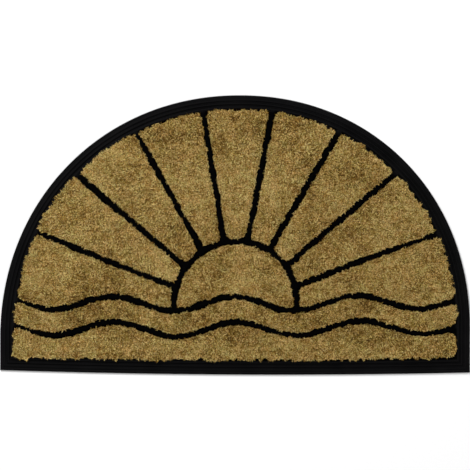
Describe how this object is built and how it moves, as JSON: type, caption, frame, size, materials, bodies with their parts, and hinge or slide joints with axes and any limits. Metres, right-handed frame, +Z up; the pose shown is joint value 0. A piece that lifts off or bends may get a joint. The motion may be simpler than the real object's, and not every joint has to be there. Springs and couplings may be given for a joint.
{
  "type": "coir doormat",
  "caption": "Half-round coir doormat: black rubber tray with a ridged border and low ribs that draw a sunburst over waves, its pockets filled with golden-brown coir brush pile.",
  "frame": {"origin": "on the floor, under the middle of the mat's box", "axes": "+X along the mat's width, to the right seen from above with the arched back up; +Y from the straight front edge to the arched back; +Z up through the pile"},
  "size_m": [0.762, 0.4532, 0.013],
  "materials": {
    "rubber": "matt moulded black rubber",
    "coir": "coarse matt brush pile, golden brown"
  },
  "bodies": {
    "root": {"rubber_tray": "rubber", "coir_ray_1": "coir", "coir_ray_2": "coir", "coir_ray_3": "coir", "coir_ray_4": "coir", "coir_ray_5": "coir", "coir_ray_6": "coir", "coir_ray_7": "coir", "coir_ray_8": "coir", "coir_ray_9": "coir", "coir_sun": "coir", "coir_wave": "coir", "coir_foot": "coir"}
  },
  "joints": []
}
